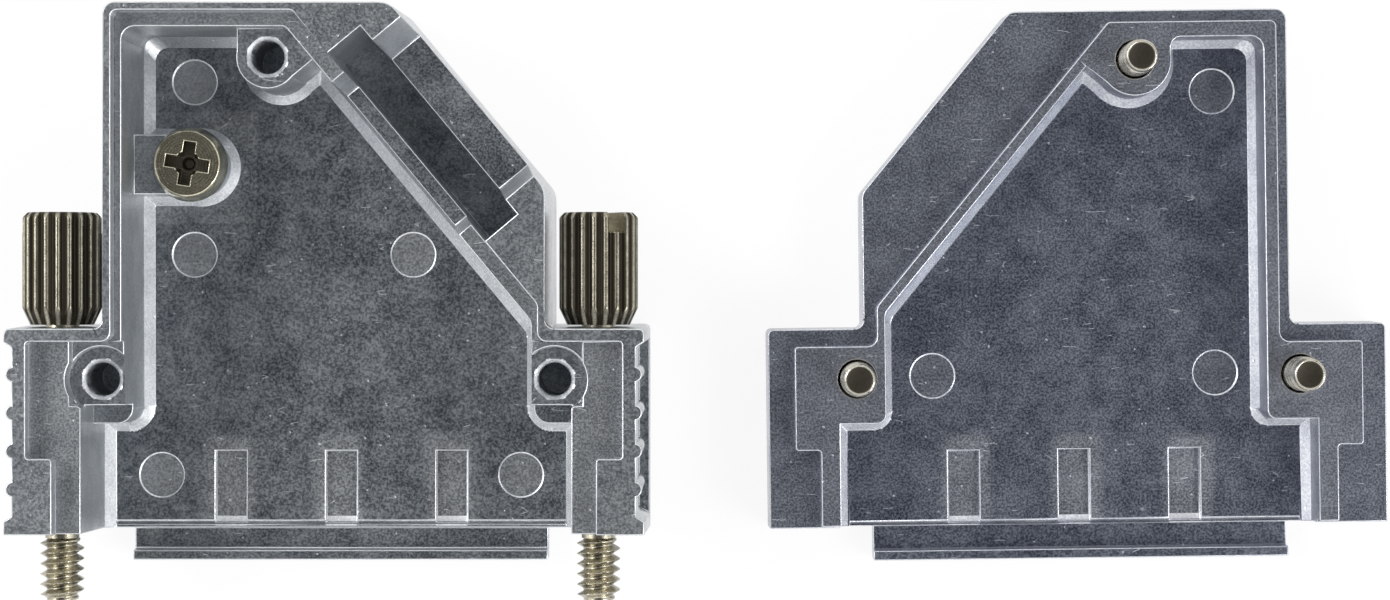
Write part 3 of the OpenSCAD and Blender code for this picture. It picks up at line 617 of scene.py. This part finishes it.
def thumbscrew(node, body, turn, start_turn):
    low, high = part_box(node)
    axis_x = (low.x + high.x) / 2 * PER_MM
    axis_z = (low.z + high.z) / 2 * PER_MM
    tip, top = low.y * PER_MM, high.y * PER_MM
    along_y = Matrix.Rotation(math.radians(-90), 4, "X")
    thread = grown(screw_thread, {**THREAD_SIZES, "Start turn": start_turn}, thumbscrew_steel)
    head = grown(knurled_head, KNURL_SIZES, thumbscrew_steel)
    shank = bpy.data.meshes.new("shank")
    bar = bmesh.new()
    from_y, to_y = tip + THREAD_SIZES["Length"] - 0.1, top - KNURL_SIZES["Length"] + 0.3
    bmesh.ops.create_cone(bar, cap_ends=True, segments=THREAD_SIDES, radius1=SHANK_RADIUS_MM,
                          radius2=SHANK_RADIUS_MM, depth=to_y - from_y)
    bar.to_mesh(shank)
    bar.free()
    turned = Matrix.Rotation(math.radians(turn), 4, "Z")
    work = joined([
        (thread, Matrix.Translation((axis_x, tip, axis_z)) @ along_y),
        (shank, Matrix.Translation((axis_x, (from_y + to_y) / 2, axis_z)) @ along_y),
        (head, Matrix.Translation((axis_x, top - KNURL_SIZES["Length"], axis_z)) @ along_y @ turned),
    ])
    return finished_piece(work, node + "_turned", thumbscrew_steel, body, node)


thumbscrew("thumbscrew_left", "left_screw", 4.0, 0.0)
thumbscrew("thumbscrew_right", "right_screw", 121.0, 0.0)

# ---------------------------------------------------------------------------------------------
# The three assembly screws. They are thread-forming steel screws, nickel-plated, which stand
# loose in the holes of the cover with their tips up, as they come out of the base.
# ---------------------------------------------------------------------------------------------

FORMING_SIZES = {"Length": 6.5, "Crest radius": 1.1, "Root radius": 0.86, "Pitch": 0.8,
                 "Run-out": 0.5, "Start turn": 0.0}
HEAD_TOP_MM = 1.25
TIP_MM = 7.75
TIP_ROUND_MM = 0.03
DISH_FROM_MM = 7.9
DISH_REACH_MM = 0.80
forming_steel = plated_steel(
    "nickel plate of the assembly screws", (0.34, 0.32, 0.26, 1.0), (0.66, 0.63, 0.56, 1.0))


def assembly_screw(node, start_turn):
    low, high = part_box(node)
    axis = (low + high) / 2 * PER_MM
    work = rounded_solid(node, TIP_ROUND_MM, SHARP_ANGLE)
    painted_shade = work.verts.layers.float.new("painted_shade")
    root = FORMING_SIZES["Root radius"]
    for point in work.verts:
        reach = math.hypot(point.co.x - axis.x, point.co.y - axis.y)
        if HEAD_TOP_MM < point.co.z < TIP_MM + 0.15 and reach > root:
            point.co.x = axis.x + (point.co.x - axis.x) * root / reach
            point.co.y = axis.y + (point.co.y - axis.y) * root / reach
        # Painted shade: the dish at the centre of the tip is darkened nearly to black.
        if point.co.z > DISH_FROM_MM and reach < DISH_REACH_MM:
            point[painted_shade] = 0.95
    thread = grown(screw_thread, {**FORMING_SIZES, "Start turn": start_turn}, forming_steel)
    thread.transform(Matrix.Translation((axis.x, axis.y, HEAD_TOP_MM + 0.05)))
    work.from_mesh(thread)
    return finished_piece(work, node + "_turned", forming_steel, "hood", node)


assembly_screw("cover_screw_left", 0.1)
assembly_screw("cover_screw_right", 0.45)
assembly_screw("cover_screw_rear", 0.8)

# ---------------------------------------------------------------------------------------------
# The table the parts lie on: a plain white sheet, which stays white behind them.
# ---------------------------------------------------------------------------------------------

SHEET_HALF = 1.5
SHEET_Z = -0.00004
SEEN_WHITE = 0.86


def white_sheet():
    made, tree, surface = new_material("white paper")
    surface.inputs["Base Color"].default_value = (0.88, 0.88, 0.88, 1.0)
    surface.inputs["Roughness"].default_value = 0.8
    rays = add_node(tree, "ShaderNodeLightPath").outputs
    seen = math_node(tree, "MAXIMUM", rays["Is Camera Ray"], rays["Is Glossy Ray"])
    seen = math_node(tree, "MAXIMUM", seen, rays["Is Transmission Ray"])
    glow = add_node(tree, "ShaderNodeEmission", {"Color": (1.0, 1.0, 1.0, 1.0), "Strength": 1.0})
    share = math_node(tree, "MULTIPLY", seen, SEEN_WHITE)
    both = add_node(tree, "ShaderNodeMixShader", {0: share, 1: surface.outputs[0], 2: glow.outputs[0]})
    tree.links.new(both.outputs[0], tree.nodes["Material Output"].inputs["Surface"])
    return made


sheet_mesh = bpy.data.meshes.new("table")
corners = [(-SHEET_HALF, -SHEET_HALF, SHEET_Z), (SHEET_HALF, -SHEET_HALF, SHEET_Z),
           (SHEET_HALF, SHEET_HALF, SHEET_Z), (-SHEET_HALF, SHEET_HALF, SHEET_Z)]
sheet_mesh.from_pydata(corners, [], [(0, 1, 2, 3)])
sheet_mesh.materials.append(white_sheet())
sheet = bpy.data.objects.new("table", sheet_mesh)
bpy.context.scene.collection.objects.link(sheet)

# ---------------------------------------------------------------------------------------------
# Soft studio light: a bright ring of sky from all sides, dim straight above where the camera
# stands, and two soft boxes.
# ---------------------------------------------------------------------------------------------


def ring_sky():
    world = bpy.data.worlds.new("studio")
    world.use_nodes = True
    tree = world.node_tree
    toward = add_node(tree, "ShaderNodeTexCoord").outputs["Generated"]
    up = add_node(tree, "ShaderNodeSeparateXYZ", {0: toward}).outputs["Z"]
    strength = ramp(tree, up, 0.70, 0.95, 1.4, 0.14)
    seen = add_node(tree, "ShaderNodeLightPath").outputs["Is Camera Ray"]
    strength = add_node(tree, "ShaderNodeMix", {0: seen, 2: strength, 3: 1.0}, data_type="FLOAT").outputs[0]
    background = tree.nodes["Background"]
    background.inputs["Color"].default_value = (1.0, 1.0, 1.0, 1.0)
    tree.links.new(strength, background.inputs["Strength"])
    return world


bpy.context.scene.world = ring_sky()


def soft_box(name, place, power, size):
    light = bpy.data.lights.new(name, "AREA")
    light.shape = "RECTANGLE"
    light.size = size
    light.size_y = size * 0.6
    light.energy = power
    lamp = bpy.data.objects.new(name, light)
    lamp.location = place
    lamp.rotation_euler = (Vector((0, 0, 0)) - Vector(place)).to_track_quat("-Z", "Y").to_euler()
    bpy.context.scene.collection.objects.link(lamp)


soft_box("left soft box", (-0.42, 0.12, 0.34), 1.2, 0.26)
soft_box("right soft box", (0.40, -0.22, 0.34), 1.2, 0.26)

# ---------------------------------------------------------------------------------------------
# The camera looks straight down on the open hood.
# ---------------------------------------------------------------------------------------------

camera = bpy.data.cameras.new("camera")
camera.lens = 83.55
camera.sensor_width = 36.0
camera.clip_start = 0.01
stand = bpy.data.objects.new("camera", camera)
stand.location = (-0.00075, 0.000036, 0.2082)
bpy.context.scene.collection.objects.link(stand)
bpy.context.scene.camera = stand
bpy.context.scene.view_settings.view_transform = "Standard"
